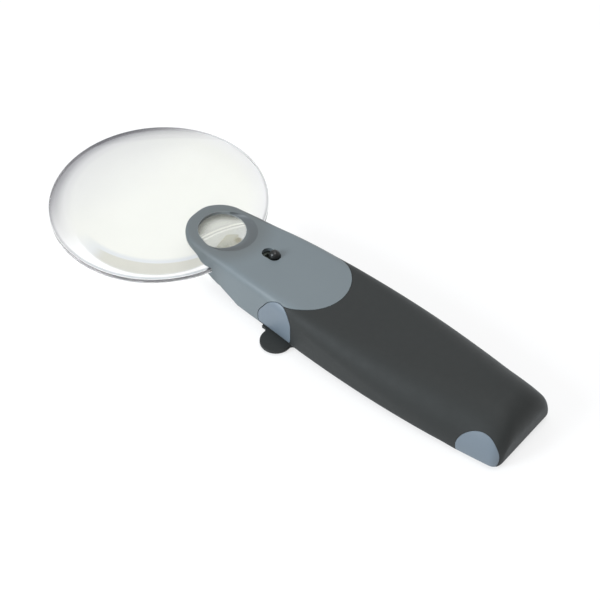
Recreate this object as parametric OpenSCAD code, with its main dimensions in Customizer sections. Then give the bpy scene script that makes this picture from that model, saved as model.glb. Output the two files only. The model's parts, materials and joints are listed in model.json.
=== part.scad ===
// Illuminated frameless hand magnifier: a large rimless lens clamped in a grey
// head with a small high-power lens, on a black battery handle for two AA cells.
// Working frame: origin at the middle of the large lens, +X along the handle
// towards its tail, +Z out of the lens towards the eye. place() moves that frame
// so that the finished object stands on Z = 0, centred in X and Y.

/* [Main lens] */
// Diameter of the large rimless lens
lens_d = 90; // [86:1:92]
// Thickness of the large lens at its edge
lens_edge = 2.2; // [2:0.1:2.4]
// Radius of curvature of both faces of the large lens
lens_curve_r = 280; // [270:5:320]

/* [Small lens] */
// Clear opening of the small lens
spot_d = 19.3; // [16:0.1:19.6]
// Distance of the small lens from the middle of the large lens
spot_x = 34.6; // [34.4:0.1:35.2]
// Radius of curvature of the small lens's upper face
spot_curve_r = 35; // [30:1:60]

/* [Handle] */
// Overall half width of the handle at its widest
handle_half_w = 21; // [20.8:0.1:21.4]
// Wall thickness of the housings
wall = 2; // [1.8:0.1:2.2]
// Thickness of the battery lid's floor
lid_t = 1.6; // [1.4:0.1:1.6]

/* [Switch] */
// Diameter of the slide switch's domed knob
knob_d = 4.4; // [4:0.1:4.8]
// Travel of the slide switch
switch_travel = 3; // [2:0.1:3.2]

/* [Battery lid] */
// Radius of the pull tab
tab_r = 6.4; // [5:0.1:6.6]
// Radius of the lid's hinge pin
pin_r = 0.9; // [0.8:0.05:1]
// Radial running clearance of the lid on its hinge pin
pin_gap = 0.06; // [0.04:0.01:0.08]

/* [Latch] */
// Travel of the latch button
latch_travel = 1.2; // [0.8:0.1:1.2]

/* [Hidden] */

x_shift = -68.5;
z_shift = 12.5;
tip_x = 19.6;         // front of the head plate
tip_c = 33.5;         // centre of its round tip
tip_r = tip_c - tip_x;
tail_x = 182;         // end of the handle
z_floor = -12.5;      // flat underside
z_lid = -10;          // parting plane between handle and lid
z_head = -10;         // parting plane of the head's two halves
z_soft = -7.4;        // below this height the ramp's edges are rounded
seam = 0.05;          // gap in a closed seam
pin_x = 171.5;
pin_z = -10;
knuckle_r = 2.5;
disc_x = 79;          // centre of the head plate's round rear end
disc_r = 16.8;
knob_x = 61.2;        // slide knob, switched off
knob_y = 0.8;
slot_r = knob_d / 2 + 0.35;
ramp_x = 40;          // the head's underside ramps down from here
ramp_z = -2.8;
jaw_x = 39.5;         // the side walls reach under the large lens from here
ramp_k = (ramp_z - z_floor) / 15.6;
ramp_a = atan(ramp_k);
inlay_gap = 0.25;     // gap round the front side inlays
led_x = 49;
spot_z = 3.9;         // flat underside of the small lens
cell_r = 7.1;
cell_y = 7.55;
cell_z = -3.45;
head_grey = [0.50, 0.545, 0.57];
inlay_grey = [0.56, 0.60, 0.635];
soft_black = [0.15, 0.16, 0.155];

// stations along the body: x, half width, top edge radius, top height
k_w = handle_half_w / 21;
ST = [[33.5, 13.9, 2.0, 6.5], [41, 14.8, 2.4, 6.7], [50, 15.6, 3.0, 7.0],
      [60, 16.6, 3.2, 7.3], [70, 17.4, 3.6, 7.5], [80, 18.3, 4.8, 7.5],
      [90, 19.4 * k_w, 6.5, 7.5], [110, 20.6 * k_w, 9.5, 7.5],
      [130, 21 * k_w, 12.6, 7.5], [150, 20.5 * k_w, 15.9, 7.5],
      [165, 19.4 * k_w, 17.4, 7.2], [176, 18.3 * k_w, 17.2, 6.3],
      [182, 17.6 * k_w, 17, 5.9]];

// smooth curve through a column of the stations
function seg(x, i = 0) = (i >= len(ST) - 2 || x < ST[i + 1][0]) ? i : seg(x, i + 1);
function slope(c, i) =
  let (a = max(i - 1, 0), b = min(i + 1, len(ST) - 1))
  (ST[b][c] - ST[a][c]) / (ST[b][0] - ST[a][0]);
function at(c, x) =
  let (i = seg(x), h = ST[i + 1][0] - ST[i][0], t = max(0, (x - ST[i][0]) / h),
       m0 = slope(c, i) * h, m1 = slope(c, i + 1) * h)
  (2 * t * t * t - 3 * t * t + 1) * ST[i][c] + (t * t * t - 2 * t * t + t) * m0
  + (3 * t * t - 2 * t * t * t) * ST[i + 1][c] + (t * t * t - t * t) * m1;
// how far a round of radius r has fallen away at distance s from its end
function fall(r, s) = s >= r ? 0 : r - sqrt(r * r - (r - s) * (r - s));

function body_w(x) = x < tip_c ? sqrt(max(1.4, tip_r * tip_r - (tip_c - x) * (tip_c - x)))
  : at(1, x) - fall(4, tail_x - x);
function body_t(x) = at(3, max(x, tip_c)) - fall(10, tail_x - x) - fall(2.2, x - tip_x) * 0.9;
function body_r(x) = at(2, max(x, tip_c));
// underside of the jaw, ahead of the ramp
function jaw(x) = x > 46.3 ? 9 : lookup(x, [[jaw_x, -2.4], [41.4, -4.8], [42.7, -6], [44.4, -6.7], [46.3, -6.7]]);
// how far the side walls flare out where they rest on the large lens, and at their foot
function lip(x) = lookup(x, [[31, 0], [33.5, 0.55], [37.1, 1.5], [jaw_x, 1.6], [40.6, 1.4], [41.8, 0.9], [42.9, 0.3], [44.4, 0]]);
function foot(x) = x < jaw_x ? lip(x) : lookup(x, [[jaw_x, 1.1], [41.4, 0.4], [42.9, 0]]);
function body_b(x) = x < jaw_x ? 1.4 : max(z_floor, min(jaw(x), ramp_z - (x - ramp_x) * ramp_k)) + fall(3.5, tail_x - x);
function body_br(x) = x < jaw_x ? 0.4 : x < 58 ? min(3, (z_soft - body_b(x) > 0 ? 0.5 + (z_soft - body_b(x)) * 0.5 : 0.5)) : 3;

// one closed cross-section at x, drawn in by o on every side
function ring(x, o) =
  let (w = body_w(x) - o, v = w + foot(x), t = body_t(x) - o * 0.9, b = body_b(x) + o * lid_t / wall,
       r = min(max(body_r(x) - o, 0.6), w * 0.96, (t - b) * 0.875, t - z_lid),
       q = min(max(body_br(x) - o * 0.8, 0.4), w * 0.5, (t - b) - r), m = 7,
       z = t - r > 2.4 ? max(b + q + 0.2, 1.8) : (b + q + t - r) / 2)
  concat(
    [for (i = [0:m]) let (a = -90 + 90 * i / m) [x, v - q + q * cos(a), b + q + q * sin(a)]],
    [[x, w + lip(x), z]],
    [for (i = [0:m]) let (a = 90 * i / m) [x, w - r + r * cos(a), t - r + r * sin(a)]],
    [for (i = [0:m]) let (a = 90 + 90 * i / m) [x, -w + r + r * cos(a), t - r + r * sin(a)]],
    [[x, -w - lip(x), z]],
    [for (i = [0:m]) let (a = 180 + 90 * i / m) [x, -v + q + q * cos(a), b + q + q * sin(a)]]);

// closed skin through the sections at every x in xs
module loft(xs, o) {
  n = len(ring(50, 0));
  k = len(xs);
  pts = [for (x = xs) each ring(x, o)];
  polyhedron(points = pts, faces = concat(
    [[for (j = [0:n - 1]) j]], [[for (j = [n - 1:-1:0]) (k - 1) * n + j]],
    [for (i = [0:k - 2], j = [0:n - 1]) let (a = i * n + j, b = i * n + (j + 1) % n) [a, a + n, b]],
    [for (i = [0:k - 2], j = [0:n - 1]) let (a = i * n + j, b = i * n + (j + 1) % n) [b, a + n, b + n]]));
}
XS = concat([for (s = [0.05, 0.5, 1.2, 2.3, 4, 6.5, 10]) tip_x + s], [tip_c, 35.4, 37.1, jaw_x - 0.1, jaw_x + 0.1, 40.6, 41.8, 42.9, 44.4, 46.3, 49.4, 52.5, 55.6, 59],
  [for (x = [63:5.5:96]) x], [for (x = [103:7:166]) x], [for (s = [12, 8.5, 6, 4.2, 2.8, 1.7, 0.8, 0.25, 0]) tail_x - s]);
XI = concat([47, 50, 54, 58], [for (x = [63:5.5:96]) x], [for (x = [103:8:159]) x], [for (s = [17, 12, 8.5, 6, 4.2, 2.8, 2]) tail_x - s]);
module outer() { loft(XS, 0); }
module inner() { loft(XI, wall); }
module shell() { difference() { outer(); inner(); } }

module place() { translate([x_shift, 0, z_shift]) children(); }
module block(x0, x1, y0, y1, z0, z1) { translate([x0, y0, z0]) cube([x1 - x0, y1 - y0, z1 - z0]); }
module post(x, y, z0, z1, r) { translate([x, y, z0]) cylinder(r = r, h = z1 - z0, $fn = 48); }
module across(x, z, y0, y1, r) { translate([x, y0, z]) rotate([-90, 0, 0]) cylinder(r = r, h = y1 - y0, $fn = 72); }
module side_slab(pts, y0, y1) { translate([0, y1, 0]) rotate([90, 0, 0]) linear_extrude(y1 - y0) polygon(pts); }

// ---------------------------------------------------------------- lenses
function sag(R, rmax, r) = sqrt(R * R - r * r) - sqrt(R * R - rmax * rmax);
module biconvex(grow = 0) {
  rr = lens_d / 2;
  n = 18;
  rotate_extrude($fn = 180) polygon(concat(
    [for (i = [0:n]) let (x = rr * i / n) [x, lens_edge / 2 + grow + sag(lens_curve_r, rr, x)]],
    [[rr + grow, lens_edge / 2 + grow], [rr + grow, -lens_edge / 2 - grow]],
    [for (i = [n:-1:0]) let (x = rr * i / n) [x, -lens_edge / 2 - grow - sag(lens_curve_r, rr, x)]]));
}
module main_lens() {
  color([0.93, 0.95, 0.97, 0.35]) place() difference() {
    union() {
      biconvex();
      block(40, 56, -9.5, 9.5, -lens_edge / 2, lens_edge / 2);
    }
    for (y = [-6.5, 6.5]) post(51.5, y, -3, 3, 1.3);
  }
}
module inspection_lens() {
  color([0.93, 0.95, 0.97, 0.35]) place() translate([spot_x, 0, spot_z]) {
    r = spot_d / 2 + 0.75;
    n = 10;
    rotate_extrude($fn = 96) polygon(concat([[0, 0], [r, 0], [r, 1]],
      [for (i = [n:-1:0]) let (x = spot_d / 2 * i / n) [x, 1 + sag(spot_curve_r, spot_d / 2, x)]]));
  }
}

// ---------------------------------------------------------------- head
// everything below the seam between the head's two halves
module below_seam(d) {
  side_slab([[30, -4.3 - d], [44.5, -4.8 - d], [53.2, z_head - d], [70, z_head - d], [70, -20], [30, -20]], -30, 30);
}
// two round discs and the straight flanks that touch both
module egg(xa, ya, ra, xb, yb, rb) {
  d = norm([xb - xa, yb - ya]);
  t = atan2(yb - ya, xb - xa);
  k = acos((ra - rb) / d);
  translate([xa, ya]) circle(r = ra, $fn = 96);
  translate([xb, yb]) circle(r = rb, $fn = 96);
  polygon([for (q = [[xa, ya, ra, k], [xb, yb, rb, k], [xb, yb, rb, -k], [xa, ya, ra, -k]])
    [q[0] + q[2] * cos(t + q[3]), q[1] + q[2] * sin(t + q[3])]]);
}
// outline of a grey side inlay, seen from the side
module inlay_shape(g, y0, y1) { translate([0, y1, 0]) rotate([90, 0, 0]) linear_extrude(y1 - y0) egg(76.5, -7, 8.8 + g, 78.3, -0.9, 7 + g); }
module tail_inlay_shape(g, y0, y1) { across(172.6, -7.9, y0, y1, 8.5 + g); }
module head_plate() {
  color(head_grey) place() difference() {
    union() {
      difference() {
        shell();
        below_seam(0);
        block(30, 70, -13.05, 13.05, -20, -1.15);
        difference() {
          block(disc_x, 200, -30, 30, -20, 20);
          post(disc_x, 0, 4, 20, disc_r);
        }
        block(disc_x, 200, -30, 30, -20, 5.2);
        inlay_shape(inlay_gap, -30, -10);
        inlay_shape(inlay_gap, 10, 30);
        block(66, 90, -30, 30, -20, z_head);
      }
      for (y = [-6.5, 6.5]) post(51.5, y, lens_edge / 2 + 0.02, 6, 2.6);
      for (y = [-7, 7]) post(72, y, 1.2, 6.2, 2.2);
    }
    biconvex(0.12);
    block(43.5, 56.2, -9.7, 9.7, -1.2, lens_edge / 2 + 0.01);
    // stepped seat and opening of the small lens
    post(spot_x, 0, -1, spot_z + 1.02, spot_d / 2 + 0.8);
    post(spot_x, 0, 0, 9, spot_d / 2);
    hull() {
      post(spot_x, 0, spot_z + 1.2, spot_z + 1.3, spot_d / 2);
      post(spot_x + 4.5, 0.5, 7.4, 7.5, spot_d / 2 + 1.95);
    }
    for (y = [-6.5, 6.5]) post(51.5, y, 0, 4.8, 0.9);
    for (y = [-7, 7]) post(72, y, 0, 4.6, 0.8);
    // slot of the slide switch
    hull() {
      post(knob_x, knob_y, 3, 9, slot_r);
      post(knob_x - switch_travel - 0.2, knob_y, 3, 9, slot_r);
    }
  }
}
module led_axis(d0, d1, r) {
  translate([led_x, 0, ramp_z - (led_x - ramp_x) * ramp_k]) rotate([0, ramp_a, 0])
    translate([0, 0, d0]) cylinder(r = r, h = d1 - d0, $fn = 48);
}
module head_lower_shell() {
  color(head_grey) place() difference() {
    union() {
      intersection() {
        shell();
        union() {
          intersection() { below_seam(seam); block(30, 67.95, -30, 30, -20, 0); }
          block(39.5, 48.5, -12.95, 12.95, -9, -1.3);
        }
      }
      intersection() {
        outer();
        union() {
          for (y = [-6.5, 6.5]) post(51.5, y, -10.8, -lens_edge / 2 - 0.02, 2.9);
          led_axis(0.5, 4.2, 4.3);
        }
      }
    }
    biconvex(0.12);
    inlay_shape(inlay_gap, -30, -10);
    inlay_shape(inlay_gap, 10, 30);
    for (y = [-6.5, 6.5]) {
      post(51.5, y, -20, -4.6, 2.1);
      post(51.5, y, -6, 2, 1.2);
    }
    led_axis(-3, 1.3, 3.6);
    led_axis(-3, 4.5, 3.2);
  }
}
module lens_screws() {
  color("silver") place() for (y = [-6.5, 6.5]) difference() {
    union() {
      post(51.5, y, -6.3, -4.65, 1.95);
      post(51.5, y, -5, 4.2, 0.9);
    }
    translate([51.5, y, -6.8]) block(-1.3, 1.3, -0.25, 0.25, 0, 1.1);
    translate([51.5, y, -6.8]) block(-0.25, 0.25, -1.3, 1.3, 0, 1.1);
  }
}
module led_window() {
  color([0.95, 0.97, 1, 0.4]) place() led_axis(0.1, 1.25, 3.55);
}
module led_collar() {
  color([0.2, 0.2, 0.22]) place() difference() {
    led_axis(1.35, 4.4, 3.15);
    led_axis(1, 5, 2.56);
  }
}
module led() {
  color([0.95, 0.95, 0.85]) place() {
    led_axis(3.4, 6.4, 2.5);
    translate([led_x, 0, ramp_z - (led_x - ramp_x) * ramp_k]) rotate([0, ramp_a, 0]) {
      translate([0, 0, 3.9]) sphere(r = 2.45, $fn = 48);
      for (y = [-1.27, 1.27]) translate([0, y, 6.3]) cylinder(r = 0.28, h = 1.4, $fn = 16);
    }
  }
}
module circuit_board() {
  color([0.1, 0.42, 0.25]) place() difference() {
    block(58.3, 76, -9.4, 9.4, 0, 1.1);
    for (y = [-7, 7]) post(72, y, -1, 3, 1);
    for (y = [-3, 3]) post(60, y, -1, 3, 0.5);
  }
}
module board_screws() {
  color("silver") place() for (y = [-7, 7]) difference() {
    union() {
      post(72, y, -1.1, -0.05, 1.7);
      post(72, y, -0.2, 3.8, 0.75);
    }
    translate([72, y, -1.2]) block(-1.2, 1.2, -0.25, 0.25, 0, 0.7);
    translate([72, y, -1.2]) block(-0.25, 0.25, -1.2, 1.2, 0, 0.7);
  }
}
module resistor() {
  color([0.8, 0.72, 0.55]) place() {
    across(74, 2.4, -2.6, 2.6, 0.95);
    for (s = [-1, 1]) {
      across(74, 2.4, s > 0 ? 2.5 : -3.9, s > 0 ? 3.9 : -2.5, 0.25);
      post(74, s * 3.8, 1.12, 2.6, 0.25);
    }
  }
}
module switch_body() {
  color([0.12, 0.12, 0.13]) place() difference() {
    block(knob_x - switch_travel - 3.4, knob_x + 3.4, knob_y - 3.4, knob_y + 3.4, 1.15, 4.6);
    block(knob_x - switch_travel - 1.9, knob_x + 1.9, knob_y - 1.5, knob_y + 1.5, 2.4, 5);
  }
}
module switch_knob() {
  color([0.08, 0.08, 0.09]) place() {
    block(knob_x - 1.5, knob_x + 1.5, knob_y - 1.2, knob_y + 1.2, 2.6, 5);
    post(knob_x, knob_y, 4.9, 7.9, knob_d / 2 - 0.12);
    translate([knob_x, knob_y, 7.85]) intersection() {
      sphere(r = knob_d / 2, $fn = 64);
      translate([0, 0, 1.5]) cube([9, 9, 3], center = true);
    }
  }
}
// a round wire of radius r swept through the points p, none of its runs upright
module wire(p, r, n = 12) {
  k = len(p);
  function dir(a, b) = (b - a) / norm(b - a);
  pts = [for (i = [0:k - 1]) let (
      d = i == 0 ? dir(p[0], p[1]) : i == k - 1 ? dir(p[k - 2], p[k - 1]) : dir(p[i - 1], p[i]) + dir(p[i], p[i + 1]),
      t = d / norm(d), u0 = cross([0, 0, 1], t), u = u0 / norm(u0), w = cross(t, u))
    each [for (j = [0:n - 1]) p[i] + r * cos(360 * j / n) * u + r * sin(360 * j / n) * w]];
  polyhedron(points = pts, faces = concat([[for (j = [0:n - 1]) j]], [[for (j = [n - 1:-1:0]) (k - 1) * n + j]],
    [for (i = [0:k - 2], j = [0:n - 1]) let (a = i * n + j, b = i * n + (j + 1) % n) [a, a + n, b]],
    [for (i = [0:k - 2], j = [0:n - 1]) let (a = i * n + j, b = i * n + (j + 1) % n) [b, a + n, b + n]]));
}
module lead_wires() {
  color([0.75, 0.12, 0.1]) place() for (s = [-1, 1])
    wire([[76.05, 6 * s, 0.55], [77.4, 6.2 * s, 0.4], [78.8, 6.8 * s, 0], [80.2, 7.8 * s, -0.6], [82, 9 * s, -1],
      [84.2, 10.4 * s, -1.1], [86.4, 11.7 * s, -1.1], [88.6, 12.5 * s, -1], [90.4, 12.6 * s, -1], [92.26, 12.6 * s, -1]], 0.6);
}

// ---------------------------------------------------------------- handle
module handle_upper_shell() {
  color(soft_black) place() difference() {
    union() {
      difference() {
        shell();
        block(0, disc_x + seam, -30, 30, -20, 20);
        block(0, 175.1, -30, 30, -20, z_lid);
        post(disc_x, 0, 4.5, 20, disc_r + 0.15);
      }
      // walls of the battery bay, and the rib between the cells
      intersection() {
        outer();
        union() {
          block(90.8, 92.2, -30, 30, z_lid, 7);
          block(149.8, 151.3, -30, 30, z_lid, 7);
          block(95, 147, -0.35, 0.35, 1.2, 7);
          for (y = [-12, 12]) post(160.5, y, -3.6, 6, 2.4);
        }
      }
    }
    post(disc_x, 0, 4.5, 20, disc_r + 0.15);
    inlay_shape(inlay_gap, -30, -10);
    inlay_shape(inlay_gap, 10, 30);
    tail_inlay_shape(0.06, -30, -11.85);
    tail_inlay_shape(0.06, 11.85, 30);
    // clearance for the hinge, and the mouths of the wires
    block(166.5, 175.15, -15, 15, -20, -7.2);
    for (y = [-12.6, 12.6]) across_x(90, 93, y, -1, 0.9);
    for (y = [-12, 12]) post(160.5, y, -8, 2, 0.9);
  }
}
module across_x(x0, x1, y, z, r) { translate([x0, y, z]) rotate([0, 90, 0]) cylinder(r = r, h = x1 - x0, $fn = 32); }
// curved skin of a side inlay
module inlay_skin(s) {
  intersection() {
    shell();
    inlay_shape(0, s > 0 ? 14.4 : -30, s > 0 ? 30 : -14.4);
    block(60, 95, -30, 30, z_lid + seam, 20);
  }
}
module far_inlay() {
  color(inlay_grey) place() {
    inlay_skin(1);
    intersection() {
      inner();
      block(73, 81, 14.5, 18, -6, -5);
    }
  }
}
module latch_button() {
  color(inlay_grey) place() difference() {
    union() {
      inlay_skin(-1);
      across(77.4, -3.5, -17.2, -14.4, 2.4);
    }
    across(77.4, -3.5, -16.2, -14, 1.7);
  }
}
module latch_spring() {
  // closed turns, at its pressed length
  color("silver") place() for (i = [0:3]) translate([77.4, -15.86 + 0.52 * i, -3.5]) rotate([90, 0, 0])
    rotate_extrude($fn = 48) translate([1.25, 0]) circle(r = 0.24, $fn = 16);
}

// ---------------------------------------------------------------- cells and contacts
module cell() {
  // an AA cell standing on its flat end
  rotate_extrude($fn = 96) polygon([[0, 0], [5, 0], [5.4, 0.3], [cell_r - 0.5, 0.3], [cell_r, 0.8], [cell_r, 48.7],
    [cell_r - 0.6, 49.4], [3, 49.4], [2.75, 49.5], [2.75, 50.3], [2.5, 50.5], [0, 50.5]]);
}
module battery_near() {
  color([0.75, 0.6, 0.3]) place() translate([143.4, -cell_y, cell_z]) rotate([0, -90, 0]) cell();
}
module battery_far() {
  color([0.75, 0.6, 0.3]) place() translate([98.6, cell_y, cell_z]) rotate([0, 90, 0]) cell();
}
module terminal_plates() {
  color("silver") place() for (s = [-1, 1]) {
    block(92.3, 92.8, s * cell_y - 5.5, s * cell_y + 5.5, -8.5, 1.5);
  }
}
module bridge_contact() {
  color("silver") place() block(149.2, 149.7, -13, 13, -8.5, 1.5);
}
// a conical wire spring standing on its wide end
module cone_spring(h) {
  for (i = [0:4]) translate([0, 0, 0.36 + (h - 0.72) * i / 4]) rotate_extrude($fn = 48)
    translate([4.6 - 0.6 * i, 0]) circle(r = 0.34, $fn = 12);
}
module contact_springs() {
  color("silver") place() {
    translate([92.85, cell_y, cell_z]) rotate([0, 90, 0]) cone_spring(5.7);
    translate([149.15, -cell_y, cell_z]) rotate([0, -90, 0]) cone_spring(5.7);
  }
}

// ---------------------------------------------------------------- tail and lid
module hinge_bracket() {
  color(inlay_grey) place() difference() {
    union() {
      for (s = [-1, 1]) intersection() {
        shell();
        tail_inlay_shape(0, s > 0 ? 11.9 : -30, s > 0 ? 30 : -11.9);
      }
      intersection() {
        inner();
        union() {
          block(166.6, 175, -17.5, 17.5, -6.9, -5.1);
          for (s = [-1, 1]) block(169.2, 174, s * 13.2 - 1.2, s * 13.2 + 1.2, -10, -5.2);
          block(158, 167, -14.5, 14.5, -5.3, -3.7);
        }
      }
      for (s = [-1, 1]) across(pin_x, pin_z, s * 13.2 - 1.2, s * 13.2 + 1.2, 2.3);
    }
    across(pin_x, pin_z, -16, 16, pin_r);
    for (y = [-12, 12]) post(160.5, y, -8, 2, 1.2);
  }
}
module bracket_screws() {
  color("silver") place() for (y = [-12, 12]) {
    post(160.5, y, -6.6, -5.35, 1.9);
    post(160.5, y, -5.5, 0.5, 0.9);
  }
}
module lid_hinge_pin() {
  color("silver") place() across(pin_x, pin_z, -14.4, 14.4, pin_r);
}
module battery_lid() {
  color(soft_black) place() difference() {
    union() {
      difference() {
        intersection() {
          shell();
          block(68.05, pin_x, -30, 30, -20, z_lid - seam);
        }
        // room for the hinge bracket's corners
        for (s = [-1, 1]) tail_inlay_shape(0.3, s > 0 ? 11.6 : -30, s > 0 ? 30 : -11.6);
      }
      // pull tab below the latch button
      translate([79.3, -20.2, z_floor + 0.5]) linear_extrude(1.4) offset(r = -1.6, $fn = 32) offset(delta = 1.6, chamfer = false) {
        circle(r = tab_r, $fn = 64);
        translate([-9, 2.2]) square([18, 4]);
      }
      // hinge knuckles, catch post and ribs
      for (s = [-1, 1]) across(pin_x, pin_z, s * 8.8 - 3, s * 8.8 + 3, knuckle_r);
      block(75.2, 79.2, -12.7, -11.7, -11.2, -3);
      for (s = [-1, 1]) block(98, 145, s * 15.4 - 0.5, s * 15.4 + 0.5, -11.2, -8.6);
    }
    across(pin_x, pin_z, -16, 16, pin_r + pin_gap);
  }
}

main_lens();
inspection_lens();
head_plate();
head_lower_shell();
lens_screws();
led_window();
led_collar();
led();
circuit_board();
board_screws();
resistor();
switch_body();
switch_knob();
lead_wires();
handle_upper_shell();
far_inlay();
latch_button();
latch_spring();
battery_near();
battery_far();
terminal_plates();
bridge_contact();
contact_springs();
hinge_bracket();
bracket_screws();
lid_hinge_pin();
battery_lid();
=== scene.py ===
# Illuminated frameless hand magnifier: looks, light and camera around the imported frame.
import json
import math
import bpy
import bmesh
import numpy as np
from mathutils import Vector, Matrix
from mathutils.bvhtree import BVHTree

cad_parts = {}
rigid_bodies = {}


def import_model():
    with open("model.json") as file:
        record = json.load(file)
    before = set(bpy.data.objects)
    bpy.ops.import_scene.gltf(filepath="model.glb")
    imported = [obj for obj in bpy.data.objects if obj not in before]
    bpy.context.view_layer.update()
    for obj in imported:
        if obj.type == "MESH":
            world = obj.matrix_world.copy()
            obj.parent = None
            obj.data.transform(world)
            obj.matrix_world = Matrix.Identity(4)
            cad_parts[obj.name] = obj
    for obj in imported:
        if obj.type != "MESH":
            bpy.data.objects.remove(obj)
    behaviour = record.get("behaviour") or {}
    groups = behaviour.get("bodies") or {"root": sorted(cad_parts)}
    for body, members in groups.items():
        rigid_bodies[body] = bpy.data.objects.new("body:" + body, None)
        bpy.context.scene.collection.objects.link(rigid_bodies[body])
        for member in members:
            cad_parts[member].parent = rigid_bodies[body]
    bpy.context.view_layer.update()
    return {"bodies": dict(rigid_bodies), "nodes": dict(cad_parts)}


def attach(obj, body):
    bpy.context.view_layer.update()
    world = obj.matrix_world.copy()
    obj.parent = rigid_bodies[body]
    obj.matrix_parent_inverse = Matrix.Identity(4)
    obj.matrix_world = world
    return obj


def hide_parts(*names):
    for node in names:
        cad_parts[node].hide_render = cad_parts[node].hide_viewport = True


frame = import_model()
NODES, BODIES = frame["nodes"], frame["bodies"]
scene = bpy.context.scene

# ------------------------------------------------------------------ the body's surface, in mm
# Working frame as in the CAD source: origin at the middle of the large lens.
WALL, LID_T, GAP = 2.0, 1.6, 0.25
TIP_X, TIP_C = 19.6, 33.5
TIP_R = TIP_C - TIP_X
TAIL_X, Z_FLOOR, Z_LID, Z_HEAD, Z_SOFT, SEAM = 182.0, -12.5, -10.0, -10.0, -7.4, 0.05
PIN_X, PIN_Z, PIN_R, PIN_GAP, KNUCKLE_R = 171.5, -10.0, 0.9, 0.06, 2.5
DISC_X, DISC_R = 79.0, 16.8
KNOB_X, KNOB_Y, KNOB_D, TRAVEL = 61.2, 0.8, 4.4, 3.0
SLOT_R = KNOB_D / 2 + 0.35
RAMP_X, RAMP_Z = 40.0, -2.8
JAW_X = 39.5
JAW = [(JAW_X, -2.4), (41.4, -4.8), (42.7, -6.0), (44.4, -6.7), (46.3, -6.7)]
LIP = [(31, 0), (33.5, 0.55), (37.1, 1.5), (JAW_X, 1.6), (40.6, 1.4), (41.8, 0.9), (42.9, 0.3), (44.4, 0)]
FOOT = [(JAW_X, 1.1), (41.4, 0.4), (42.9, 0)]
RAMP_K = (RAMP_Z - Z_FLOOR) / 15.6
RAMP_A = math.atan(RAMP_K)
LED_X, SPOT_X, SPOT_Z, SPOT_D = 49.0, 34.6, 3.9, 19.3
LENS_D, LENS_EDGE, LENS_R, SPOT_R = 90.0, 2.2, 280.0, 35.0
ST = np.array([[33.5, 13.9, 2.0, 6.5], [41, 14.8, 2.4, 6.7], [50, 15.6, 3.0, 7.0], [60, 16.6, 3.2, 7.3],
               [70, 17.4, 3.6, 7.5], [80, 18.3, 4.8, 7.5], [90, 19.4, 6.5, 7.5], [110, 20.6, 9.5, 7.5],
               [130, 21, 12.6, 7.5], [150, 20.5, 15.9, 7.5], [165, 19.4, 17.4, 7.2], [176, 18.3, 17.2, 6.3],
               [182, 17.6, 17, 5.9]])
TO_ROW = Matrix.Scale(0.001, 4) @ Matrix.Translation((-68.5, 0, 12.5))


def at(c, x):
    i = int(min(max(np.searchsorted(ST[:, 0], x, side="right") - 1, 0), len(ST) - 2))
    h = ST[i + 1, 0] - ST[i, 0]
    t = max(0.0, (x - ST[i, 0]) / h)

    def slope(k):
        a, b = max(k - 1, 0), min(k + 1, len(ST) - 1)
        return (ST[b, c] - ST[a, c]) / (ST[b, 0] - ST[a, 0])

    m0, m1 = slope(i) * h, slope(i + 1) * h
    return ((2 * t**3 - 3 * t * t + 1) * ST[i, c] + (t**3 - 2 * t * t + t) * m0
            + (3 * t * t - 2 * t**3) * ST[i + 1, c] + (t**3 - t * t) * m1)


def fall(r, s):
    return 0.0 if s >= r else r - math.sqrt(max(0.0, r * r - (r - s) ** 2))


def ring(x, o, m=12):
    w = (math.sqrt(max(1.4, TIP_R**2 - (TIP_C - x) ** 2)) if x < TIP_C else at(1, x) - fall(4, TAIL_X - x)) - o
    t = at(3, max(x, TIP_C)) - fall(10, TAIL_X - x) - fall(2.2, x - TIP_X) * 0.9 - o * 0.9
    jaw = 9.0 if x > 46.3 else float(np.interp(x, [q[0] for q in JAW], [q[1] for q in JAW]))
    b0 = 1.4 if x < JAW_X else max(Z_FLOOR, min(jaw, RAMP_Z - (x - RAMP_X) * RAMP_K)) + fall(3.5, TAIL_X - x)
    if x < JAW_X:
        br = 0.4
    elif x < 58:
        br = min(3.0, 0.5 + (Z_SOFT - b0) * 0.5 if Z_SOFT - b0 > 0 else 0.5)
    else:
        br = 3.0
    b = b0 + o * LID_T / WALL
    r = min(max(at(2, max(x, TIP_C)) - o, 0.6), w * 0.96, (t - b) * 0.875, t - Z_LID)
    q = min(max(br - o * 0.8, 0.4), w * 0.5, (t - b) - r)
    lip = float(np.interp(x, [c[0] for c in LIP], [c[1] for c in LIP]))
    v = w + (lip if x < JAW_X else float(np.interp(x, [c[0] for c in FOOT], [c[1] for c in FOOT])))
    zl = max(b + q + 0.2, 1.8) if t - r > 2.4 else (b + q + t - r) / 2
    p = []
    for k, (cy, cz, rad, a0) in enumerate(((v - q, b + q, q, -90), (w - r, t - r, r, 0), (-w + r, t - r, r, 90), (-v + q, b + q, q, 180))):
        if k == 3:
            p.append((x, -w - lip, zl))
        for i in range(m + 1):
            a = math.radians(a0 + 90 * i / m)
            p.append((x, cy + rad * math.cos(a), cz + rad * math.sin(a)))
        if k == 0:
            p.append((x, w + lip, zl))
    return p


def mesh_from(name, verts, faces):
    me = bpy.data.meshes.new(name)
    me.from_pydata([tuple(v) for v in verts], [], faces)
    me.validate()
    me.update()
    ob = bpy.data.objects.new(name, me)
    scene.collection.objects.link(ob)
    return ob


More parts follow.
